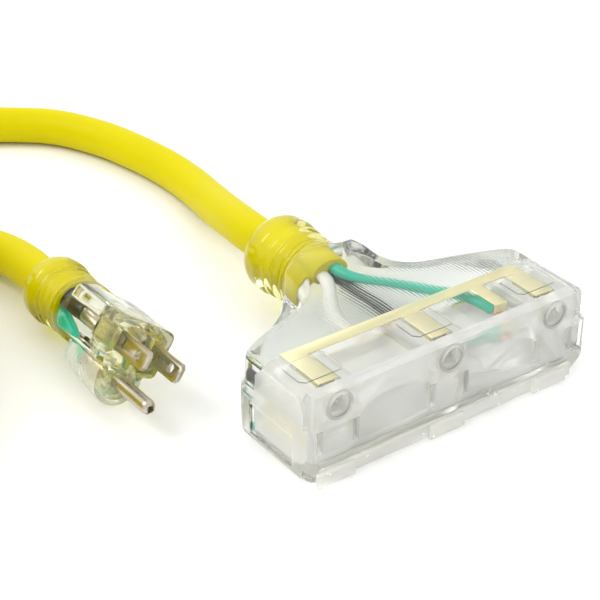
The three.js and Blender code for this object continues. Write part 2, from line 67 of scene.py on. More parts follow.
# ------------------------------------------------------------------ sizes and colours
def length(label, description, value):
    return bpy.props.FloatProperty(
        name=label, description=description, default=value, precision=5, unit="LENGTH")


class CordSizes(bpy.types.PropertyGroup):
    """Sizes a maker would change without moving anything else."""

    cord_diameter: length("Cord diameter", "Across the yellow jacket", 0.0138)
    cord_length: length("Cord length", "From the block to the plug", 7.62)
    rib_pitch: length("Rib pitch", "Between the fine ribs on top of the block", 0.0012)
    rib_height: length("Rib height", "How far the fine ribs stand up", 0.00015)
    grip_pitch: length("Grip pitch", "Between the ribs on the plug's grip", 0.0019)
    grip_height: length("Grip height", "How far the grip's ribs stand up", 0.00022)
    strand_radius: length("Strand radius", "Of one copper strand", 0.00023)
    wire_radius: length("Wire radius", "Of one insulated wire", 0.0024)


def colour(label, description, value):
    return bpy.props.FloatVectorProperty(
        name=label, description=description, subtype="COLOR", size=3, min=0, max=1,
        default=value)


class CordColours(bpy.types.PropertyGroup):
    """Colours of the mouldings, the jacket and the wires."""

    jacket: colour("Jacket", "Outer jacket of the cord", (0.65, 0.565, 0.0))
    clear: colour("Clear moulding", "Tint of the block's front", (0.985, 0.99, 0.975))
    fan: colour("Clear fan", "Tint of the block's thick fan", (0.76, 0.785, 0.765))
    inner: colour("Inner frame", "Tint of the inner frames", (1.0, 1.0, 0.985))
    plug: colour("Clear plug", "Tint of the plug's moulding", (0.93, 0.94, 0.86))
    sleeve: colour("Strain reliefs", "Tint of the two strain reliefs", (1.0, 1.0, 0.5))
    milky: colour("Milky mouldings", "Ledge, base and grip", (0.95, 0.95, 0.92))
    olive: colour("Plug core", "Tint of the plug's core", (0.98, 0.97, 0.76))
    green: colour("Green wire", "Insulation of the ground wire", (0.0, 0.50, 0.33))
    brass: colour("Brass", "Bus strips and contacts", (0.96, 0.88, 0.55))
    nickel: colour("Nickel", "Blades and ground pin", (0.56, 0.51, 0.41))
    copper: colour("Copper", "Bare strands", (0.86, 0.42, 0.22))


# ------------------------------------------------------------------ mesh helpers
def place(p):
    """A point given in mm from the outlets' face, as metres from the origin."""
    return Vector((p[0] * MM, (p[1] - BLOCK_MIDDLE) * MM, p[2] * MM))


def smoothstep(a, b, x):
    t = min(1.0, max(0.0, (x - a) / (b - a)))
    return t * t * (3 - 2 * t)


def lerp(a, b, t):
    return a + (b - a) * t


def spline(points, step):
    """Points about a step apart on a centripetal curve through the given points."""
    pts = [Vector(p) for p in points]
    pts = [pts[0] * 2 - pts[1], *pts, pts[-1] * 2 - pts[-2]]
    line = []
    for i in range(1, len(pts) - 2):
        p0, p1, p2, p3 = pts[i - 1:i + 3]
        d = [max(1e-6, math.sqrt((b - a).length)) for a, b in ((p0, p1), (p1, p2), (p2, p3))]
        m1 = ((p1 - p0) / d[0] - (p2 - p0) / (d[0] + d[1]) + (p2 - p1) / d[1]) * d[1]
        m2 = ((p2 - p1) / d[1] - (p3 - p1) / (d[1] + d[2]) + (p3 - p2) / d[2]) * d[1]
        count = max(1, round((p2 - p1).length / step))
        for k in range(count):
            t = k / count
            line.append(
                p1 * (2 * t ** 3 - 3 * t * t + 1) + m1 * (t ** 3 - 2 * t * t + t)
                + p2 * (3 * t * t - 2 * t ** 3) + m2 * (t ** 3 - t * t))
    line.append(pts[-2])
    return line


def linked(name, mesh):
    ob = bpy.data.objects.new(name, mesh)
    bpy.context.scene.collection.objects.link(ob)
    return ob


def mesh_object(name, verts, faces, material, smooth=True):
    mesh = bpy.data.meshes.new(name)
    mesh.from_pydata([tuple(v) for v in verts], [], faces)
    mesh.update()
    mesh.materials.append(material)
    for poly in mesh.polygons:
        poly.use_smooth = smooth
    return linked(name, mesh)


def band_faces(rows, n):
    """Quads between rows of n points each."""
    return [
        (r * n + i, r * n + (i + 1) % n, (r + 1) * n + (i + 1) % n, (r + 1) * n + i)
        for r in range(rows - 1) for i in range(n)]


def end_faces(rows, n):
    return [tuple(reversed(range(n))), tuple((rows - 1) * n + i for i in range(n))]


def tidy(ob, merge=1e-6):
    """Merges doubled points and points every face outwards."""
    bm = bmesh.new()
    bm.from_mesh(ob.data)
    bmesh.ops.remove_doubles(bm, verts=bm.verts, dist=merge)
    bmesh.ops.dissolve_degenerate(bm, edges=bm.edges, dist=merge)
    bmesh.ops.recalc_face_normals(bm, faces=bm.faces)
    bm.to_mesh(ob.data)
    bm.free()
    ob.data.update()
    return ob


def loft(name, rings, material, closed_ends=True, smooth=True):
    """A skin through rings that have the same number of points."""
    rows, n = len(rings), len(rings[0])
    verts = [v for ring in rings for v in ring]
    faces = band_faces(rows, n) + (end_faces(rows, n) if closed_ends else [])
    return tidy(mesh_object(name, verts, faces, material, smooth))


def sweep_rings(points, radius, sides):
    """Rings round a line of points, carried along without twist."""
    pts = [Vector(p) for p in points]
    tangents = []
    for i in range(len(pts)):
        a, b = pts[max(0, i - 1)], pts[min(len(pts) - 1, i + 1)]
        tangents.append((b - a).normalized())
    side = tangents[0].orthogonal().normalized()
    rings = []
    for i, (p, t) in enumerate(zip(pts, tangents)):
        side = (side - t * side.dot(t)).normalized()
        up = t.cross(side)
        r = radius(i) if callable(radius) else radius
        rings.append([
            p + (side * math.cos(a) + up * math.sin(a)) * r
            for a in (2 * math.pi * k / sides for k in range(sides))])
    return rings


def tube_object(name, points, radius, sides, material):
    """A closed round tube with a UV map: turns round it, and metres along it."""
    rings = sweep_rings(points, radius, sides)
    rows, n = len(rings), sides
    verts = [v for ring in rings for v in ring]
    along = [0.0]
    for a, b in zip(points, points[1:]):
        along.append(along[-1] + (Vector(b) - Vector(a)).length)
    uvs = []
    for low, high in zip(along, along[1:]):
        for i in range(n):
            uvs += [(i / n, low), ((i + 1) / n, low), ((i + 1) / n, high), (i / n, high)]
    uvs += [(0, 0)] * (2 * n)
    ob = mesh_object(name, verts, band_faces(rows, n) + end_faces(rows, n), material)
    layer = ob.data.uv_layers.new(name="along")
    for loop, uv in zip(layer.data, uvs):
        loop.uv = uv
    return ob


def marked_skin(name, rings, material):
    """A closed skin through rings of (point, place among the ribs, rib strength)."""
    bm = bmesh.new()
    layers = [bm.verts.layers.float.new(label) for label in ("rib_at", "rib_mask")]
    grid = []
    for ring in rings:
        row = []
        for point, *marks in ring:
            vertex = bm.verts.new(point)
            for layer, mark in zip(layers, marks):
                vertex[layer] = mark
            row.append(vertex)
        grid.append(row)
    n = len(grid[0])
    for a, b in zip(grid, grid[1:]):
        for i in range(n):
            j = (i + 1) % n
            bm.faces.new((a[i], a[j], b[j], b[i]))
    bm.faces.new(list(reversed(grid[0])))
    bm.faces.new(grid[-1])
    bmesh.ops.remove_doubles(bm, verts=bm.verts, dist=2e-6)
    bmesh.ops.dissolve_degenerate(bm, edges=bm.edges, dist=2e-6)
    bmesh.ops.recalc_face_normals(bm, faces=bm.faces)
    for face in bm.faces:
        face.smooth = True
    mesh = bpy.data.meshes.new(name)
    bm.to_mesh(mesh)
    bm.free()
    mesh.materials.append(material)
    return linked(name, mesh)


def turned(name, profile, to_world, material, segments=80):
    """A profile of (radius, distance) turned round the local Z axis."""
    rings = []
    for r, h in profile:
        rings.append([
            to_world @ Vector((r * math.cos(a) * MM, r * math.sin(a) * MM, h * MM))
            for a in (2 * math.pi * k / segments for k in range(segments))])
    return loft(name, rings, material)


def ring_piece(name, profile, to_world, material, segments=48):
    """A closed profile turned round the local Z axis into a ring."""
    rings = []
    for k in range(segments + 1):
        a = 2 * math.pi * k / segments
        rings.append([
            to_world @ Vector((r * math.cos(a) * MM, r * math.sin(a) * MM, h * MM))
            for r, h in profile[:-1]])
    return loft(name, rings, material, closed_ends=False)


def smooth_profile(profile, step=0.35):
    return [(p[0], p[1]) for p in spline([(r, h, 0) for r, h in profile], step)]


def softened(name, node, width, material, segments=2, angle=30):
    """A copy of a CAD node with rounded edges."""
    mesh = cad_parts[node].data.copy()
    bm = bmesh.new()
    bm.from_mesh(mesh)
    bmesh.ops.remove_doubles(bm, verts=bm.verts, dist=2e-6)
    bmesh.ops.dissolve_limit(
        bm, angle_limit=math.radians(2), verts=bm.verts, edges=bm.edges)
    for face in bm.faces:
        face.smooth = True
    bm.to_mesh(mesh)
    bm.free()
    mesh.materials.clear()
    mesh.materials.append(material)
    ob = linked(name, mesh)
    bevel = ob.modifiers.new("edge", "BEVEL")
    bevel.width = width * MM
    bevel.segments = segments
    bevel.limit_method = "ANGLE"
    bevel.angle_limit = math.radians(angle)
    bevel.harden_normals = True
    bevel.use_clamp_overlap = True
    return plain(ob)


def plain(ob):
    """Turns an object's modifiers into a plain mesh."""
    bpy.context.view_layer.update()
    graph = bpy.context.evaluated_depsgraph_get()
    mesh = bpy.data.meshes.new_from_object(
        ob.evaluated_get(graph), preserve_all_data_layers=True, depsgraph=graph)
    ob.modifiers.clear()
    old = ob.data
    ob.data = mesh
    bpy.data.meshes.remove(old)
    mesh.name = ob.name
    return ob


def join(name, objects):
    """One piece from several meshes."""
    bm = bmesh.new()
    materials = []
    for ob in objects:
        start = len(bm.faces)
        bm.from_mesh(ob.data)
        bm.faces.ensure_lookup_table()
        for material in ob.data.materials:
            if material not in materials:
                materials.append(material)
        index = materials.index(ob.data.materials[0])
        for face in bm.faces[start:]:
            face.material_index = index
    mesh = bpy.data.meshes.new(name)
    bm.to_mesh(mesh)
    bm.free()
    for material in materials:
        mesh.materials.append(material)
    for ob in objects:
        bpy.data.objects.remove(ob)
    return linked(name, mesh)


def finish_piece(ob, slot, *nodes):
    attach(ob, "root")
    if nodes:
        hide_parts(*nodes)
    return ob


# ------------------------------------------------------------------ geometry node trees
def add(tree, kind, inputs=None, **settings):
    """A node; each input is given a value or another node's output."""
    node = tree.nodes.new(kind)
    for label, value in settings.items():
        setattr(node, label, value)
    for socket, value in (inputs or {}).items():
        if isinstance(value, bpy.types.NodeSocket):
            tree.links.new(value, node.inputs[socket])
        else:
            node.inputs[socket].default_value = value
    return node


def math_node(tree, operation, *values):
    return add(
        tree, "ShaderNodeMath", dict(enumerate(values)), operation=operation).outputs[0]


def tree_named(name, build):
    """A node tree, built the first time that it is asked for."""
    return bpy.data.node_groups.get(name) or build(name)


def new_tree(name, inputs):
    tree = bpy.data.node_groups.new(name, "GeometryNodeTree")
    tree.interface.new_socket("Geometry", in_out="INPUT", socket_type="NodeSocketGeometry")
    for label in inputs:
        tree.interface.new_socket(label, in_out="INPUT", socket_type="NodeSocketFloat")
    tree.interface.new_socket("Material", in_out="INPUT", socket_type="NodeSocketMaterial")
    tree.interface.new_socket("Geometry", in_out="OUTPUT", socket_type="NodeSocketGeometry")
    return tree, tree.nodes.new("NodeGroupInput").outputs


def end_tree(tree, geometry, given):
    """Realizes what the tree made and gives it its material."""
    realize = add(tree, "GeometryNodeRealizeInstances", {0: geometry})
    paint = add(tree, "GeometryNodeSetMaterial",
                {"Geometry": realize.outputs[0], "Material": given["Material"]})
    add(tree, "NodeGroupOutput", {0: paint.outputs[0]})
    return tree


def rib_tree(name):
    """Raises ribs along the point normals, where the rib_mask attribute lets it."""
    tree, given = new_tree(name, ("Pitch", "Height", "Sharpness"))
    at, mask = (
        add(tree, "GeometryNodeInputNamedAttribute", {"Name": label}).outputs["Attribute"]
        for label in ("rib_at", "rib_mask"))
    turns = math_node(tree, "DIVIDE", at, given["Pitch"])
    wave = math_node(tree, "COSINE", math_node(tree, "MULTIPLY", turns, 2 * math.pi))
    ridge = math_node(tree, "ADD", math_node(tree, "MULTIPLY", wave, 0.5), 0.5)
    crest = math_node(tree, "POWER", ridge, given["Sharpness"])
    rise = math_node(
        tree, "MULTIPLY", math_node(tree, "MULTIPLY", crest, mask), given["Height"])
    normal = add(tree, "GeometryNodeInputNormal")
    offset = add(tree, "ShaderNodeVectorMath", {0: normal.outputs[0], "Scale": rise},
                 operation="SCALE")
    move = add(tree, "GeometryNodeSetPosition",
               {"Geometry": given["Geometry"], "Offset": offset.outputs[0]})
    return end_tree(tree, move.outputs[0], given)


def strand_tree(name):
    """Twisted bare strands along a line: one in the middle and rings of 6 and 12."""
    tree, given = new_tree(name, ("Strand Radius", "Twist", "Step"))
    curve = add(tree, "GeometryNodeMeshToCurve", {0: given["Geometry"]})
    resample = add(tree, "GeometryNodeResampleCurve",
                   {"Curve": curve.outputs[0], "Length": given["Step"]}, mode="LENGTH")
    where = add(tree, "GeometryNodeSplineParameter")
    tilt = add(tree, "GeometryNodeSetCurveTilt", {
        "Curve": resample.outputs[0],
        "Tilt": math_node(tree, "MULTIPLY", where.outputs["Length"], given["Twist"])})
    gather = add(tree, "GeometryNodeJoinGeometry")
    for count, distance in ((1, 0.001), (6, 2.02), (12, 4.0)):
        ring = add(tree, "GeometryNodeMeshCircle", {
            "Vertices": max(3, count),
            "Radius": math_node(tree, "MULTIPLY", given["Strand Radius"], distance)})
        circle = add(tree, "GeometryNodeCurvePrimitiveCircle", {
            "Resolution": 8,
            "Radius": math_node(tree, "MULTIPLY", given["Strand Radius"], 0.98)})
        seat = add(tree, "GeometryNodeInstanceOnPoints",
                   {"Points": ring.outputs[0], "Instance": circle.outputs[0]})
        if count == 1:
            index = add(tree, "GeometryNodeInputIndex")
            first = add(tree, "FunctionNodeCompare", {2: index.outputs[0]},
                        data_type="INT", operation="EQUAL")
            tree.links.new(first.outputs[0], seat.inputs["Selection"])
        tree.links.new(seat.outputs[0], gather.inputs[0])
    profile = add(tree, "GeometryNodeRealizeInstances", {0: gather.outputs[0]})
    skin = add(tree, "GeometryNodeCurveToMesh", {
        "Curve": tilt.outputs[0], "Profile Curve": profile.outputs[0], "Fill Caps": True})
    shade = add(tree, "GeometryNodeSetShadeSmooth", {0: skin.outputs[0]})
    return end_tree(tree, shade.outputs[0], given)


def run_tree(ob, tree, **values):
    """Runs a geometry node tree on an object and keeps the result as its mesh."""
    modifier = ob.modifiers.new("nodes", "NODES")
    modifier.node_group = tree
    sockets = {
        item.name: item.identifier for item in tree.interface.items_tree
        if item.in_out == "INPUT" and item.name != "Geometry"}
    for label, value in values.items():
        modifier[sockets[label.replace("_", " ")]] = value
    return plain(ob)


# ------------------------------------------------------------------ materials
def grain_group(name):
    """Slow and fine unevenness of a moulded or drawn surface."""
    group = bpy.data.node_groups.new(name, "ShaderNodeTree")
    for label in ("Vector", "Scale", "Low", "High"):
        kind = "NodeSocketVector" if label == "Vector" else "NodeSocketFloat"
        group.interface.new_socket(label, in_out="INPUT", socket_type=kind)
    for label in ("Roughness", "Shade", "Height"):
        group.interface.new_socket(label, in_out="OUTPUT", socket_type="NodeSocketFloat")
    given = group.nodes.new("NodeGroupInput").outputs
    slow = add(group, "ShaderNodeTexNoise", {
        "Vector": given["Vector"], "Scale": given["Scale"], "Detail": 2})
    fine = add(group, "ShaderNodeTexNoise", {
        "Vector": given["Vector"], "Scale": math_node(group, "MULTIPLY", given["Scale"], 9),
        "Detail": 3})
    blend = math_node(
        group, "MULTIPLY_ADD", fine.outputs["Fac"], 0.35,
        math_node(group, "MULTIPLY", slow.outputs["Fac"], 0.65))
    span = add(group, "ShaderNodeMapRange", {
        "Value": blend, "From Min": 0.3, "From Max": 0.7,
        "To Min": given["Low"], "To Max": given["High"]})
    add(group, "NodeGroupOutput", {
        "Roughness": span.outputs[0], "Shade": slow.outputs["Fac"],
        "Height": fine.outputs["Fac"]})
    return group


def finish(name, tone, low, high, *, scale=60, bump=0.0, shade=0.06, metallic=0.0,
           transmission=0.0, ior=1.45, coat=0.0, stretch=(1, 1, 1), sheen=0.0,
           subsurface=0.0, specular=0.5, glint=1.0, far_tone=None):
    """A procedural material with uneven roughness, a slight change of tone and grain."""
    material = bpy.data.materials.new(name)
    material.use_nodes = True
    tree = material.node_tree
    shader = tree.nodes["Principled BSDF"]
    for label, value in (
            ("Metallic", metallic), ("Transmission Weight", transmission), ("IOR", ior),
            ("Specular IOR Level", specular), ("Specular Tint", (glint, glint, glint, 1)),
            ("Coat Weight", coat), ("Coat Roughness", 0.2), ("Sheen Weight", sheen),
            ("Subsurface Weight", subsurface), ("Subsurface Scale", 1.0),
            ("Subsurface Radius", (0.003, 0.0025, 0.001))):
        shader.inputs[label].default_value = value
    coords = add(tree, "ShaderNodeTexCoord").outputs["Object"]
    mapping = add(tree, "ShaderNodeMapping", {"Vector": coords, "Scale": stretch})
    grain = add(tree, "ShaderNodeGroup", node_tree=tree_named("surface_grain", grain_group))
    for label, value in (("Scale", scale), ("Low", low), ("High", high)):
        grain.inputs[label].default_value = value
    tree.links.new(mapping.outputs[0], grain.inputs["Vector"])
    tree.links.new(grain.outputs["Roughness"], shader.inputs["Roughness"])
    tones = add(tree, "ShaderNodeMix", {
        0: grain.outputs["Shade"], 6: (*[c * (1 - shade) for c in tone], 1),
        7: (*[min(1, c * (1 + shade)) for c in tone], 1)}, data_type="RGBA")
    base = deepen(tree, coords, tones, far_tone) if far_tone else tones
    tree.links.new(base.outputs[2], shader.inputs["Base Color"])
    if bump:
        relief = add(tree, "ShaderNodeBump", {
            "Strength": 0.6, "Distance": bump, "Height": grain.outputs["Height"]})
        tree.links.new(relief.outputs[0], shader.inputs["Normal"])
    if transmission:
        let_lamps_through(tree, shader, tone)
    material.diffuse_color = (*tone, 1)
    return material


def deepen(tree, coords, tones, far_tone):
    """Deepens the tint in the thick fan, between the outlets' end and the neck."""
    split = add(tree, "ShaderNodeSeparateXYZ", {0: coords})
    ramps = [
        add(tree, "ShaderNodeMapRange", {
            "Value": split.outputs["Y"], "From Min": place((0, start, 0)).y,
            "From Max": place((0, end, 0)).y}).outputs[0]
        for start, end in ((17, 34), (62, 50))]
    return add(tree, "ShaderNodeMix", {
        0: math_node(tree, "MINIMUM", *ramps), 6: tones.outputs[2], 7: (*far_tone, 1)},
        data_type="RGBA")


def let_lamps_through(tree, shader, tone):
    """Clear mouldings throw hardly any shadow on what they hold or stand on."""
    rays = add(tree, "ShaderNodeLightPath")
    clear = add(tree, "ShaderNodeBsdfTransparent", {0: (*tone, 1)})
    mix = add(tree, "ShaderNodeMixShader", {
        0: rays.outputs["Is Shadow Ray"], 1: shader.outputs[0], 2: clear.outputs[0]})
    tree.links.new(mix.outputs[0], tree.nodes["Material Output"].inputs["Surface"])


def looks():
    """The finishes of the whole object, made once."""
    if "jacket_yellow" in bpy.data.materials:
        return {m.name: m for m in bpy.data.materials}
    c = bpy.context.scene.cord_colours
    finish("jacket_yellow", c.jacket, 0.4, 0.55, scale=40, bump=0.00002, shade=0.05,
           specular=0.1, subsurface=0.08)
    finish("clear_moulding", c.clear, 0.01, 0.04, scale=90, shade=0.01,
           transmission=0.96, ior=1.42, glint=0.5, far_tone=c.fan)
    finish("clear_plug", c.plug, 0.02, 0.06, scale=120, shade=0.01,
           transmission=1.0, ior=1.42, glint=0.4)
    finish("sleeve_tinted", c.sleeve, 0.03, 0.08, scale=120, shade=0.01,
           transmission=1.0, ior=1.5, glint=0.8)
    finish("milky", c.milky, 0.15, 0.3, scale=110, shade=0.015,
           transmission=0.7, ior=1.2, glint=0.5)
    finish("inner_frame", c.inner, 0.12, 0.25, scale=110, shade=0.01,
           transmission=0.64, ior=1.14, glint=0.6)
    finish("plug_core_olive", c.olive, 0.08, 0.2, scale=110, shade=0.05,
           transmission=0.92, ior=1.16, glint=0.5)
    finish("wire_green", c.green, 0.25, 0.4, scale=150, shade=0.08, coat=0.3)
    finish("wire_black", (0.012, 0.014, 0.016), 0.3, 0.45, scale=150, shade=0.2, coat=0.3)
    finish("wire_white", (0.80, 0.79, 0.74), 0.3, 0.45, scale=150, shade=0.05, coat=0.3)
    finish("bus_brass", c.brass, 0.4, 0.55, scale=160, shade=0.08, metallic=1.0,
           stretch=(0.2, 3, 1))
    # Dark brown brass is painted shade, for the ground contacts' mouths deep inside the round
    # holes.
    finish("brass_dark", (0.32, 0.17, 0.03), 0.3, 0.5, scale=160, shade=0.3, metallic=1.0)
    finish("pin_nickel", c.nickel, 0.22, 0.36, scale=200, shade=0.12, metallic=1.0,
           bump=0.00001, stretch=(3, 0.3, 3))
    finish("bare_copper", c.copper, 0.22, 0.4, scale=300, shade=0.15, metallic=1.0)
    finish("strap_black", (0.016, 0.016, 0.017), 0.75, 0.95, scale=900, shade=0.4,
           bump=0.0002, sheen=0.4)
    return {m.name: m for m in bpy.data.materials}


# ------------------------------------------------------------------ stage
class CORD_OT_stage(bpy.types.Operator):
    """Make the floor, the soft lights and the camera"""

    bl_idname = "extension_cord.stage"
    bl_label = "Stage"

    def execute(self, context):
        floor = mesh_object(
            "floor", [(-4, -4, 0), (4, -4, 0), (4, 6, 0), (-4, 6, 0)], [(0, 1, 2, 3)],
            finish("floor_white", (0.93, 0.93, 0.93), 0.6, 0.7, scale=3, shade=0.004))
        world = bpy.data.worlds.new("studio")
        world.use_nodes = True
        background = world.node_tree.nodes["Background"]
        background.inputs["Color"].default_value = (1, 1, 1, 1)
        background.inputs["Strength"].default_value = 1.0
        context.scene.world = world
        context.scene.view_settings.view_transform = "Standard"
        self.light("key", (-0.9, 0.5, 1.3), 0.9, 9)
        self.light("fill", (0.9, -0.9, 1.0), 1.0, 4)
        self.light("back", (0.3, 1.3, 0.8), 0.8, 4)
        for name in ("fill", "back"):
            bpy.data.objects[name].visible_glossy = False
        camera = linked("camera", bpy.data.cameras.new("camera"))
        camera.data.sensor_width = 36
        camera.data.lens = 99.18
        camera.data.clip_start = 0.02
        camera.data.clip_end = 50
        camera.location = place((-269.3, -299.0, 286.8))
        heading = Vector((0.49916, 0.69353, -0.51949))
        camera.rotation_mode = "QUATERNION"
        camera.rotation_quaternion = heading.to_track_quat("-Z", "Y")
        context.scene.camera = camera
        return {"FINISHED"}

    def light(self, name, spot, size, power):
        data = bpy.data.lights.new(name, "AREA")
        data.shape = "DISK"
        data.size = size
        data.energy = power
        lamp = linked(name, data)
        lamp.location = spot
        lamp.rotation_mode = "QUATERNION"
        lamp.rotation_quaternion = (-Vector(spot)).to_track_quat("-Z", "Y")


# ------------------------------------------------------------------ cord
LEAD_ROUTE = (
    (0, 74, 19), (0, 84, 19), (0, 97, 19), (0.9, 106, 18.2), (3.4, 118, 16),
    (7.2, 132, 12.6), (11.4, 148, 9.4), (14.4, 165, 7.5), (14.6, 182, 7), (12, 200, 7),
    (7.2, 218.5, 7), (-2.8, 238, 7), (-18.7, 251.4, 7.2), (-37.5, 260.5, 9.4),
    (-58.4, 262, 14.5), (-79.2, 255, 22.5), (-95, 241.3, 31.5), (-104, 224.4, 40),
    (-106.7, 207.4, 46.5), (-106.7, 190, 49.9),
)
TAIL_ROUTE = (
    (-157.1, 248.8, 8.5), (-139.5, 238.8, 8.1), (-118.5, 225.5, 7.4), (-98, 209.5, 7),
    (-82, 192, 7), (-71.5, 173, 7.3), (-66.3, 157, 8.8), (-64.9, 144.5, 10.2),
    (-65.26, 131.76, 11.31),
)
COIL_CENTRE = (-207.0, 155.0)
COIL_RADII = (91.5, 77.7, 63.9, 50.1)
COIL_LEVELS = (49.9, 36.1, 22.3, 8.5)
COIL_START = -16.0
COIL_STEP = 352.94      # degrees for each turn, so that the last ends where the tail leaves


def coil_point(angle, radius, level):
    a = math.radians(angle)
    return (COIL_CENTRE[0] + radius * math.cos(a), COIL_CENTRE[1] + radius * math.sin(a), level)


def coil_route(per_turn):
    """Four layers of four turns, wound inwards and outwards by turns from the top down."""
    seats = []
    for layer, level in enumerate(COIL_LEVELS):
        radii = COIL_RADII if layer % 2 == 0 else tuple(reversed(COIL_RADII))
        seats += [(radius, level) for radius in radii]
    points = []
    for i in range(1, 8):
        t = i / 8
        points.append(coil_point(
            lerp(19.2, COIL_START, t), lerp(106.2, COIL_RADII[0], smoothstep(0, 1, t)),
            COIL_LEVELS[0]))
    for turn, (radius, level) in enumerate(seats):
        following = seats[min(turn + 1, len(seats) - 1)]
        for i in range(per_turn):
            t = i / per_turn
            move = smoothstep(0.86, 1.0, t)
            points.append(coil_point(
                COIL_START - (turn + t) * COIL_STEP,
                lerp(radius, following[0], move), lerp(level, following[1], move)))
    for i in range(0, 8):
        t = i / 8
        points.append(coil_point(
            lerp(97, 62, t), lerp(COIL_RADII[0], 106.2, smoothstep(0, 1, t)),
            COIL_LEVELS[-1]))
    return points


class CORD_OT_cord(bpy.types.Operator):
    """Make the yellow cord, from inside the block, through its coil, to the plug"""

    bl_idname = "extension_cord.cord"
    bl_label = "Cord"

    def execute(self, context):
        sizes = context.scene.cord_sizes
        lead = spline(LEAD_ROUTE, 3.5)
        tail = spline(TAIL_ROUTE, 3.5) + [
            (plug_point((PLUG_CORD_OFFSET, 0, -w)) / MM + Vector((0, BLOCK_MIDDLE, 0)))
            for w in (60, 55, 50)]
        points = [place(p) for p in [*lead, *coil_route(32), *tail]]
        cord = tube_object(
            "cord_jacket", points, sizes.cord_diameter / 2, 28, looks()["jacket_yellow"])
        finish_piece(cord, "yellow_jacket", "cord_lead", "cord_coil", "cord_tail")
        self.jacket_end("block", place, [(0, y, CORD_HEIGHT) for y in (60.0, 60.25, 67, 74)])
        self.jacket_end(
            "plug", plug_point, [(PLUG_CORD_OFFSET, 0, -w) for w in (36.2, 36.45, 43, 50)])
        context.scene["cord_path"] = [c for p in points for c in p]
        return {"FINISHED"}

    def jacket_end(self, name, to_world, line):
        """The cut end of the jacket, with its rim rounded."""
        radius = bpy.context.scene.cord_sizes.cord_diameter / 2
        points = [to_world(p) for p in line]
        end = tube_object(
            f"{name}_jacket", points, lambda i: radius - (0.25 * MM if i == 0 else 0), 40,
            looks()["jacket_yellow"])
        finish_piece(end, "yellow_jacket", f"{name}_jacket_end")


class CORD_OT_strap(bpy.types.Operator):
    """Make the hook and loop strap round the coil"""

    bl_idname = "extension_cord.strap"
    bl_label = "Coil strap"

    def execute(self, context):
        def outline(grow):
            x0, x1, z0, z1, r = 41.4 - grow, 99.7 + grow, 1.0 - grow, 57.5 + grow, 6.0
            corners = [(x1 - r, z0 + r, -90), (x1 - r, z1 - r, 0), (x0 + r, z1 - r, 90),
                       (x0 + r, z0 + r, 180)]
            ring = []
            for cx, cz, start in corners:
                for k in range(9):
                    a = math.radians(start + k * 90 / 8)
                    ring.append((cx + r * math.cos(a), cz + r * math.sin(a)))
            return ring

        turn = Matrix.Rotation(math.radians(215), 3, "Z")
        inner, outer = outline(0.0), outline(0.75)
        width = 6.9
        rings = []
        for (xi, zi), (xo, zo) in zip(inner, outer):
            section = [(xi, -width, zi), (xi, width, zi), (xo, width, zo), (xo, -width, zo)]
            rings.append([
                place(Vector((*COIL_CENTRE, 0)) + turn @ Vector(p)) for p in section])
        rings.append(rings[0])
        strap = loft("coil_strap", rings, looks()["strap_black"], closed_ends=False)
        bevel = strap.modifiers.new("edge", "BEVEL")
        bevel.width = 0.00025
        bevel.segments = 2
        bevel.limit_method = "ANGLE"
        plain(strap)
        finish_piece(strap, "tie_strap", "coil_tie")
        return {"FINISHED"}


# ------------------------------------------------------------------ power block
# Half widths of the base, the slot band and the top, then heights of the bottom, the band's
# lower and upper edges, the shoulder and the top, at distances from the outlets' face.
BLOCK_SECTIONS = (
    (0.0, (49.4, 54.2, 51.8, 0.0, 4.2, 18.4, 28.6, 30.0)),
    (27.5, (49.4, 54.2, 51.8, 0.0, 4.2, 18.4, 28.6, 30.0)),
    (32.0, (47.0, 52.2, 50.0, 0.8, 5.0, 18.4, 28.4, 29.8)),
    (37.5, (42.0, 47.2, 38.0, 2.2, 6.4, 17.8, 27.8, 29.3)),
    (42.5, (36.5, 42.6, 24.5, 3.2, 7.2, 17.2, 27.2, 29.0)),
    (47.0, (30.0, 37.0, 18.6, 3.8, 7.8, 16.8, 27.2, 29.2)),
    (52.5, (21.0, 28.6, 15.8, 4.4, 8.2, 16.6, 27.6, 30.2)),
    (58.0, (14.0, 20.0, 15.2, 5.0, 8.6, 17.0, 28.2, 31.2)),
    (63.0, (9.5, 15.6, 14.6, 5.8, 9.4, 18.0, 28.2, 31.3)),
)


def section_at(y):
    """The block's cross-section sizes at a distance from its face, smoothly between rows."""
    rows = BLOCK_SECTIONS
    if y <= rows[1][0]:
        return rows[0][1]
    i = max(k for k in range(len(rows)) if rows[k][0] <= y)
    if i >= len(rows) - 1:
        return rows[-1][1]
    before, a, b = rows[max(i - 1, 1)], rows[i], rows[i + 1]
    after = rows[min(i + 2, len(rows) - 1)]
    span = b[0] - a[0]
    t = (y - a[0]) / span
    sizes = []
    for k in range(8):
        ma = (b[1][k] - before[1][k]) / max(b[0] - before[0], 1e-6) * span if i > 1 else 0.0
        mb = (after[1][k] - a[1][k]) / max(after[0] - a[0], 1e-6) * span
        sizes.append(
            a[1][k] * (2 * t ** 3 - 3 * t * t + 1) + ma * (t ** 3 - 2 * t * t + t)
            + b[1][k] * (3 * t * t - 2 * t ** 3) + mb * (t ** 3 - t * t))
    return sizes


def rounded(corners, radii, count=5):
    """A line through corners, each cut by an arc of so many points."""
    line = [corners[0]]
    for before, corner, after, radius in zip(corners, corners[1:], corners[2:], radii):
        b, c, a = Vector(before), Vector(corner), Vector(after)
        reach = min(radius, (b - c).length * 0.45, (a - c).length * 0.45)
        p = c + (b - c).normalized() * reach
        q = c + (a - c).normalized() * reach
        for k in range(count):
            t = k / (count - 1)
            point = p * (1 - t) ** 2 + c * 2 * t * (1 - t) + q * t * t
            line.append((point.x, point.y))
    line.append(corners[-1])
    return line


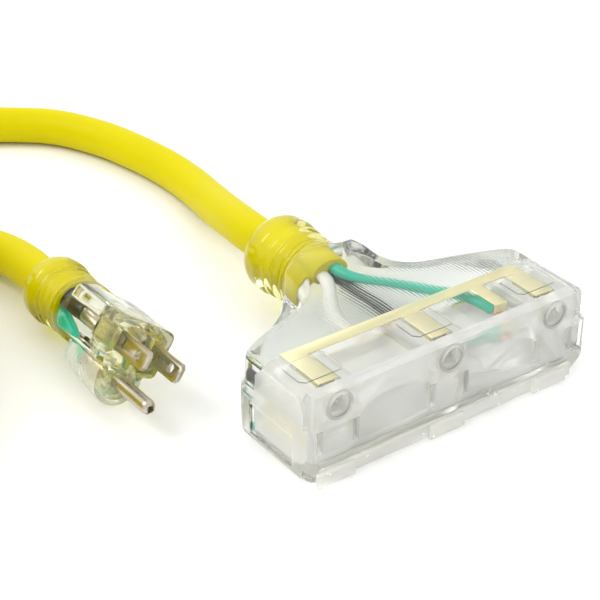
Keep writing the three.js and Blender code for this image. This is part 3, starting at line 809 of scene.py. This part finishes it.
def block_half_ring(y):
    """The right half of the block's outline at y, from the middle of its base to its top edge."""
    base, side, top, bottom, low, step, shoulder, height = section_at(y)
    corners = [
        (0.0, bottom), (base, bottom), (side, low), (side, step),
        (top + (side - top) * 0.1, step + 2), (top, shoulder),
        (top - (height - shoulder), height), (0.0, height)]
    line = rounded(corners, (2.2, 1.6, 1.0, 1.0, 1.2, 1.2))
    return line[:-1], height


def rib_zone(x, y):
    """How far the ribs stand up here, from 0 to 1."""
    far = 44.8 - (x - 3) ** 2 / 110
    return smoothstep(15.0, 15.8, y) * (1 - smoothstep(far - 0.6, far, y))


class CORD_OT_block_shell(bpy.types.Operator):
    """Make the block's clear moulding, with its fan, its fine ribs and its base"""

    bl_idname = "extension_cord.block_shell"
    bl_label = "Block shell"

    def execute(self, context):
        sizes = context.scene.cord_sizes
        pitch = sizes.rib_pitch / MM
        reach = int(50.4 / (pitch / 8)) + 1
        columns = [k * pitch / 8 for k in range(-reach, reach + 1)]
        stations = [0.0, 0.35, 0.9, *self.steps(1.6, 63.0, 1.15)]
        rings = []
        for y in stations:
            inset = 0.9 * (1 - math.sqrt(max(0.0, 1 - (1 - min(1, y / 0.9)) ** 2)))
            half, height = block_half_ring(y)
            half = [(max(0.0, x - inset), z + (inset if z < 15 else -inset)) for x, z in half]
            height -= inset
            edge = half[-1][0]
            left = [(-x, z) for x, z in reversed(half)]
            top = [(max(-edge, min(edge, -c)), height) for c in columns]
            rings.append([
                (place((x, y, z)), x * MM,
                 rib_zone(x, y) * smoothstep(0.0, 1.2, edge - abs(x))
                 if abs(z - height) < 1e-6 else 0.0) for x, z in half + top + left])
        last = rings[-1]
        for y, radius in ((65.6, 12.9), (67.2, 12.45), (NECK_END - 0.3, 12.3), (NECK_END, 11.9)):
            ring = []
            for p, _, _ in last:
                angle = math.atan2(p.z / MM - CORD_HEIGHT, p.x / MM)
                ring.append((place((
                    radius * math.cos(angle), y, CORD_HEIGHT + radius * math.sin(angle))),
                    0.0, 0.0))
            rings.append(ring)
        clear = looks()["clear_moulding"]
        shell = run_tree(
            marked_skin("block_shell_skin", rings, clear), tree_named("moulded_ribs", rib_tree),
            Pitch=sizes.rib_pitch, Height=sizes.rib_height, Sharpness=14.0, Material=clear)
        for side in (-1, 1):
            panel = self.pad(
                "panel", sorted((side * 53.4, side * 56)), (3.6, 24.8), (6.0, 16.6), 0.0014)
            self.combine(shell, panel, "DIFFERENCE")
        for x in OUTLETS:
            for side in (-1, 1):
                middle = x + side * BLADE_SPACING / 2
                slot = self.box("slot", (middle - 1.05, middle + 1.05), (-1, 19),
                                (SLOT_HEIGHT - 3.85, SLOT_HEIGHT + 3.85))
                self.combine(shell, slot, "DIFFERENCE")
            hole = self.pad("hole", (x - 2.8, x + 2.8), (-3, 17), (21.6, 27.4), 0.0012)
            self.combine(shell, hole, "DIFFERENCE")
        bumper = [self.pad("ledge", (-48, 48), (-1.6, -0.05), (0.3, 5.0)),
                  self.pad("base", (-47.5, 47.5), (0.5, 27), (0.5, 6.2))]
        bumper += [
            self.pad("foot", (x - 9.4, x + 4), (-3.2, -1.65), (0.3, 5.2)) for x in OUTLETS]
        for part in bumper:
            part.data.materials[0] = looks()["milky"]
        shell = join("block_shell", [shell, *bumper])
        finish_piece(shell, "clear_plastic", "block_body")
        return {"FINISHED"}

    def steps(self, start, end, step):
        count = round((end - start) / step)
        return [lerp(start, end, k / count) for k in range(count + 1)]

    def box(self, name, xs, ys, zs):
        verts = [place((x, y, z)) for z in zs for y in ys for x in xs]
        faces = [(0, 2, 3, 1), (4, 5, 7, 6), (0, 1, 5, 4), (2, 6, 7, 3), (0, 4, 6, 2),
                 (1, 3, 7, 5)]
        return tidy(mesh_object(name, verts, faces, looks()["clear_moulding"], False))

    def pad(self, name, xs, ys, zs, edge=0.0006):
        ob = self.box(name, xs, ys, zs)
        bevel = ob.modifiers.new("edge", "BEVEL")
        bevel.width = edge
        bevel.segments = 3
        return plain(ob)

    def combine(self, ob, other, operation):
        boolean = ob.modifiers.new("shape", "BOOLEAN")
        boolean.object = other
        boolean.operation = operation
        boolean.solver = "EXACT"
        plain(ob)
        bpy.data.objects.remove(other)


class CORD_OT_block_frames(bpy.types.Operator):
    """Make the face with its slots and ground holes, and the frame that holds the contacts"""

    bl_idname = "extension_cord.block_frames"
    bl_label = "Block frames"

    def execute(self, context):
        made = looks()
        face = softened("block_face", "block_face_insert", 0.5, made["inner_frame"], 3)
        front = place((0, 0.4, 0)).y
        for vertex in face.data.vertices:
            vertex.co.y = max(vertex.co.y, front)
        finish_piece(face, "inner_plastic", "block_face_insert")
        rings = []
        for x in OUTLETS:
            turn = Matrix.Translation(place((x, -0.8, 24.0))) @ Matrix.Rotation(
                math.radians(-90), 4, "X")
            profile = [(3.5, 0.8), (3.5, 0.3), (3.7, 0.05), (4.2, 0.0), (4.5, 0.15),
                       (4.62, 0.5), (4.62, 0.8), (3.5, 0.8)]
            rings.append(ring_piece("collar", profile, turn, made["milky"]))
        finish_piece(join("block_outlet_collars", rings), "inner_plastic")
        rear = softened("frame", "block_rear_insert", 0.45, made["inner_frame"], 2)
        caps = []
        for x in OUTLETS:
            level = [(x + dx, y, 28.9) for dx, y in (
                (-7.5, 9), (-6, 7.5), (6, 7.5), (7.5, 9), (7.5, 17), (6, 18.4), (-6, 18.4),
                (-7.5, 17))]
            rings = [[place((px, py, z)) for px, py, _ in level] for z in (28.75, 29.5)]
            caps.append(loft("cap", rings, made["clear_moulding"], smooth=False))
        for side in (-1, 1):
            rings = []
            for x in (side * 49.6, side * 50.4):
                rings.append([place((x, y, z)) for y, z in (
                    (3, 8), (5, 6.4), (24, 6.4), (26, 8), (26, 24), (23, 27), (6, 27), (3, 24))])
            caps.append(loft("cap", rings, made["inner_frame"], smooth=False))
        rear = join("block_contact_frame", [rear, *caps])
        finish_piece(rear, "inner_plastic", "block_rear_insert")
        return {"FINISHED"}


class CORD_OT_contacts(bpy.types.Operator):
    """Make the brass bus strips with their contacts"""

    bl_idname = "extension_cord.contacts"
    bl_label = "Bus strips"

    def execute(self, context):
        brass = looks()["bus_brass"]
        for name in ("ground", "hot", "neutral"):
            strip = softened("strip", f"block_{name}_bus", 0.18, brass, 2)
            parts = [strip]
            if name == "ground":
                parts += [self.mouth(x) for x in OUTLETS]
            strip = join(f"block_{name}_strip", parts)
            finish_piece(strip, "brass", f"block_{name}_bus")
        return {"FINISHED"}

    def mouth(self, x):
        """The flared mouth of a ground contact, just inside its round hole, coloured dark brown
        as painted shade.
        """
        rings = [
            [place((x - dx, y, z)) for dx, z in ((a, 22.2), (b, 22.2), (b, 26.8), (a, 26.8))]
            for y, a, b in ((2.2, 2.5, 2.1), (4.2, 1.5, 1.1), (6.2, 2.7, 2.3))]
        return loft("mouth", rings, looks()["brass_dark"], smooth=False)


# ------------------------------------------------------------------ strain reliefs
def relief_outline(bead, start, end):
    """A neck, three ridges and a bead, from the moulding to where the cord comes out."""
    rows = [
        (bead - 1.2, 0), (bead - 1.15, 0.9), (bead - 2.1, 2.2), (bead - 2.2, 3.4),
        (bead - 1.05, 4.6), (bead - 1, 5.7), (bead - 1.95, 6.8), (bead - 1.9, 7.8),
        (bead - 0.75, 8.9), (bead - 0.7, 9.9), (bead - 1.5, 10.9), (bead - 0.8, 12.1),
        (bead - 0.05, 13.6), (bead, 15.5), (bead - 0.15, 17.6), (bead - 0.9, 19.8),
        (bead - 2.7, 22.2), (bead - 5.0, 24.2), (RELIEF_BORE, RELIEF_LENGTH)]
    stretch = (end - start) / RELIEF_LENGTH
    return [(max(r, RELIEF_BORE), start + h * stretch) for r, h in rows]


class CORD_OT_block_relief(bpy.types.Operator):
    """Make the clear strain relief between the block and the cord"""

    bl_idname = "extension_cord.block_relief"
    bl_label = "Block strain relief"

    def execute(self, context):
        profile = smooth_profile(relief_outline(13.5, NECK_END + 0.1, BLOCK_RELIEF_END), 0.4)
        back = Matrix.Translation(place((0, 0, CORD_HEIGHT))) @ Matrix.Rotation(
            math.radians(-90), 4, "X")
        relief = turned(
            "block_relief", [(RELIEF_BORE, NECK_END + 0.1), *profile], back,
            looks()["sleeve_tinted"], 96)
        finish_piece(relief, "clear_sleeve", "block_strain_relief")
        return {"FINISHED"}


# ------------------------------------------------------------------ wires
BLOCK_WIRES = {
    "green": (
        ((1.8, 61, 21), (1.8, 59.5, 21), (1.9, 57.6, 20.8), (3.4, 53.5, 20.3), (5.9, 49, 20),
         (9.5, 43.7, 20), (14.1, 36.7, 20), (17.8, 31, 20.4), (21, 26, 21.2),
         (23.8, 20, 21.5), (25.4, 14, 20.8), (25.8, 11, 20)),
        ((25.8, 11.4, 20), (25.9, 8.5, 19.8), (26, 6.3, 19.8))),
    "black": (
        ((1.4, 61, 16.2), (1.4, 59.5, 16.2), (1.5, 57.6, 16), (1.9, 49, 15.4),
         (1.7, 42, 15.2), (1.8, 34, 14.8), (1.4, 28.5, 14)),
        ((1.4, 28.8, 14), (1.3, 25.8, 12.8), (1.2, 23.6, 10.4))),
    "white": (
        ((-3.2, 61, 19), (-3.2, 59.5, 19), (-3.5, 57.6, 19), (-6.4, 51, 18.6),
         (-11, 43, 18), (-14.4, 35.5, 17.6), (-15, 28.5, 17.6)),
        ((-15, 28.9, 17.6), (-15, 25.4, 17.6), (-15, 22.6, 17.6))),
}
PLUG_WIRES = {
    "green": (
        ((4.5, 0, -37.5), (4.5, 0, -35.8), (4.6, 0, -34.4), (5.9, 0, -30), (6.8, 0, -27),
         (7.4, 0, -25), (8.9, 0, -22), (10.9, 0, -19.8), (11.8, 0, -18.6),
         (11.9, 0, -17.8)),
        ((11.9, 0, -18.2), (11.9, 0, -14), (11.9, 0, -10.7))),
    "black": (
        ((0.6, -2.6, -37.5), (0.6, -2.6, -35.8), (0.6, -2.7, -34.4), (0.5, -3.8, -29.5),
         (0.4, -5.2, -24.5), (0, -6.35, -19.6)),
        ((0, -6.35, -20), (0, -6.35, -15), (0, -6.35, -10.7))),
    "white": (
        ((0.6, 2.6, -37.5), (0.6, 2.6, -35.8), (0.6, 2.7, -34.4), (0.5, 3.8, -29.5),
         (0.4, 5.2, -24.5), (0, 6.35, -19.6)),
        ((0, 6.35, -20), (0, 6.35, -15), (0, 6.35, -10.7))),
}


def make_wires(context, prefix, table, to_world):
    """Insulated wires with their bare strands at the end."""
    sizes = context.scene.cord_sizes
    made = looks()
    tree = tree_named("strand_bundle", strand_tree)
    for name, (insulation, strands) in table.items():
        points = [to_world(p) for p in spline(insulation, 0.9)]
        wire = tube_object(f"{prefix}_{name}_wire", points, sizes.wire_radius, 20,
                           made[f"wire_{name}"])
        finish_piece(wire, f"{name}_insulation", f"{prefix}_wire_{name}")
        line = [to_world(p) for p in spline(strands, 0.5)]
        mesh = bpy.data.meshes.new("line")
        mesh.from_pydata([tuple(p) for p in line],
                         [(i, i + 1) for i in range(len(line) - 1)], [])
        bundle = linked(f"{prefix}_{name}_strands", mesh)
        run_tree(bundle, tree, Strand_Radius=sizes.strand_radius, Twist=420.0, Step=0.0004,
                 Material=made["bare_copper"])
        finish_piece(bundle, "copper", f"{prefix}_strands_{name}")


class CORD_OT_block_wires(bpy.types.Operator):
    """Make the three wires that fan out inside the block"""

    bl_idname = "extension_cord.block_wires"
    bl_label = "Block wires"

    def execute(self, context):
        make_wires(context, "block", BLOCK_WIRES, place)
        return {"FINISHED"}


# ------------------------------------------------------------------ plug
PLUG_PLACE = (-66.66, 66.12, 18.35)
PLUG_HEADING, PLUG_TILT, PLUG_ROLL = 2.29, 4.75, 37.61


def plug_matrix():
    """The plug's own frame: X towards the ground pin, Y across the blades, Z out of its face."""
    h, t, r = (math.radians(a) for a in (PLUG_HEADING, PLUG_TILT, PLUG_ROLL))
    out = Vector((-math.sin(h) * math.cos(t), -math.cos(h) * math.cos(t), math.sin(t)))
    level = out.cross(Vector((0, 0, 1))).normalized()
    up = level.cross(out)
    ground = level * math.sin(r) - up * math.cos(r)
    across = out.cross(ground)
    turn = Matrix((ground, across, out)).transposed().to_4x4()
    return Matrix.Translation(place(PLUG_PLACE)) @ turn


PLUG_FRAME = plug_matrix()


def plug_point(p):
    return PLUG_FRAME @ (Vector(p) * MM)


def plug_radius(angle, centre, w):
    """Distance from the plug's middle to its skin, in a direction across it."""
    back = -w
    direction = Vector((math.cos(angle), math.sin(angle)))
    square = 1 - smoothstep(25, 31, back)
    lobe = 1 - smoothstep(22.6, 25.2, back)
    best = 0.0
    if square > 0:
        low = Vector((-7.8 - centre, -11.7))
        high = Vector((8.0 - centre, 11.7))
        reach = 1e9
        for k in range(2):
            if abs(direction[k]) > 1e-9:
                limit = high[k] if direction[k] > 0 else low[k]
                reach = min(reach, limit / direction[k])
        best = max(best, reach)
    round_reach = circle_reach(direction, PLUG_CORD_OFFSET - centre, 10.4)
    best = lerp(round_reach, best, square) if square > 0 else round_reach
    if lobe > 0:
        t = min(1.0, back / 25)
        offset = lerp(GROUND_OFFSET, GROUND_OFFSET - 1.3, t) - centre
        radius = lerp(8.3, 6.9, t)
        grip = circle_reach(direction, offset, radius)
        best = max(best, lerp(best, grip, lobe)) if grip > best else best
    return best


def circle_reach(direction, offset, radius):
    """How far a ray from the origin goes before it leaves a circle centred on the X axis."""
    b = direction.x * offset
    inside = radius * radius - offset * offset + b * b
    return b + math.sqrt(inside) if inside > 0 else 0.0


class CORD_OT_plug_shell(bpy.types.Operator):
    """Make the plug's clear moulding with its ribbed grip"""

    bl_idname = "extension_cord.plug_shell"
    bl_label = "Plug shell"

    def execute(self, context):
        sizes = context.scene.cord_sizes
        made = looks()
        count = 144
        depths = [0.2, 0.4, 0.8, 1.5] + [2.2 + 0.4 * k for k in range(62)]
        depths += [27 + 0.8 * k for k in range(12)] + [36.3, 36.8, 37.2]
        rows = []
        for back in depths:
            centre = lerp(5.5, PLUG_CORD_OFFSET, smoothstep(20, 31, back))
            rim = 0.9 * (1 - math.sqrt(max(0.0, 1 - (1 - min(1, back / 0.9)) ** 2)))
            end = 0.8 * smoothstep(36.1, 37.2, back)
            radii = [plug_radius(2 * math.pi * k / count, centre, -back) for k in range(count)]
            for _ in range(5):
                radii = [
                    (radii[k - 1] + 2 * radii[k] + radii[(k + 1) % count]) / 4
                    for k in range(count)]
            rows.append((back, centre, [r - rim - end for r in radii]))
        rings = []
        for back, centre, radii in rows:
            ring = []
            for k, radius in enumerate(radii):
                angle = 2 * math.pi * k / count
                v, u = centre + radius * math.cos(angle), radius * math.sin(angle)
                strength = (smoothstep(9.5, 11.0, v) * smoothstep(1.6, 2.4, back)
                            * (1 - smoothstep(22.0, 22.8, back)))
                ring.append((plug_point((v, u, -back)), back * MM, strength))
            rings.append(ring)
        shell = run_tree(
            marked_skin("plug_shell", rings, made["clear_plug"]),
            tree_named("moulded_ribs", rib_tree), Pitch=sizes.grip_pitch,
            Height=sizes.grip_height, Sharpness=1.5, Material=made["clear_plug"])
        shell.data.materials.append(made["milky"])
        to_plug = PLUG_FRAME.inverted()
        for face in shell.data.polygons:
            spot = to_plug @ face.center / MM
            if spot.x > 9.4 and spot.z > -24:
                face.material_index = 1
        finish_piece(shell, "clear_plastic", "plug_body")
        return {"FINISHED"}


class CORD_OT_plug_relief(bpy.types.Operator):
    """Make the clear strain relief between the plug and the cord"""

    bl_idname = "extension_cord.plug_relief"
    bl_label = "Plug strain relief"

    def execute(self, context):
        profile = smooth_profile(relief_outline(11.5, PLUG_RELIEF_START - 0.2, PLUG_LENGTH), 0.4)
        flip = PLUG_FRAME @ Matrix.Translation((PLUG_CORD_OFFSET * MM, 0, 0)) @ Matrix.Rotation(
            math.pi, 4, "X")
        relief = turned("plug_relief", [(RELIEF_BORE, PLUG_RELIEF_START - 0.2), *profile], flip,
                        looks()["sleeve_tinted"], 96)
        finish_piece(relief, "clear_sleeve", "plug_strain_relief")
        return {"FINISHED"}


class CORD_OT_plug_metal(bpy.types.Operator):
    """Make the plug's core, its two blades and its ground pin"""

    bl_idname = "extension_cord.plug_metal"
    bl_label = "Plug core and pins"

    def execute(self, context):
        made = looks()
        core = softened("plug_face_core", "plug_core", 0.3, made["plug_core_olive"], 2)
        finish_piece(core, "tinted_plastic", "plug_core")
        for side in ("hot", "neutral"):
            blade = softened(f"plug_{side}_blade", f"plug_blade_{side}", 0.25,
                             made["pin_nickel"], 2)
            finish_piece(blade, "nickel", f"plug_blade_{side}")
        pin = softened("plug_ground_post", "plug_ground_pin", 0.15, made["pin_nickel"], 2)
        finish_piece(pin, "nickel", "plug_ground_pin")
        return {"FINISHED"}


class CORD_OT_plug_wires(bpy.types.Operator):
    """Make the three wires inside the plug"""

    bl_idname = "extension_cord.plug_wires"
    bl_label = "Plug wires"

    def execute(self, context):
        make_wires(context, "plug", PLUG_WIRES, plug_point)
        return {"FINISHED"}


# ------------------------------------------------------------------ panel and run
OPERATORS = (
    CORD_OT_stage, CORD_OT_cord, CORD_OT_strap, CORD_OT_block_shell, CORD_OT_block_frames,
    CORD_OT_contacts, CORD_OT_block_relief, CORD_OT_block_wires, CORD_OT_plug_shell,
    CORD_OT_plug_relief, CORD_OT_plug_metal, CORD_OT_plug_wires,
)


class CORD_PT_maker(bpy.types.Panel):
    """Sizes, colours and steps of the extension cord"""

    bl_idname = "CORD_PT_maker"
    bl_label = "Extension Cord"
    bl_space_type = "VIEW_3D"
    bl_region_type = "UI"
    bl_category = "Extension Cord"

    def draw(self, context):
        for group in (context.scene.cord_sizes, context.scene.cord_colours):
            box = self.layout.box()
            for name in group.__annotations__:
                box.prop(group, name)
        for operator in OPERATORS:
            self.layout.operator(operator.bl_idname)


CLASSES = (CordSizes, CordColours, *OPERATORS, CORD_PT_maker)


def register():
    for cls in CLASSES:
        bpy.utils.register_class(cls)
    bpy.types.Scene.cord_sizes = bpy.props.PointerProperty(type=CordSizes)
    bpy.types.Scene.cord_colours = bpy.props.PointerProperty(type=CordColours)


def unregister():
    del bpy.types.Scene.cord_colours
    del bpy.types.Scene.cord_sizes
    for cls in reversed(CLASSES):
        bpy.utils.unregister_class(cls)


def main():
    register()
    for operator in OPERATORS:
        group, name = operator.bl_idname.split(".")
        getattr(getattr(bpy.ops, group), name)()


if __name__ == "__main__":
    main()
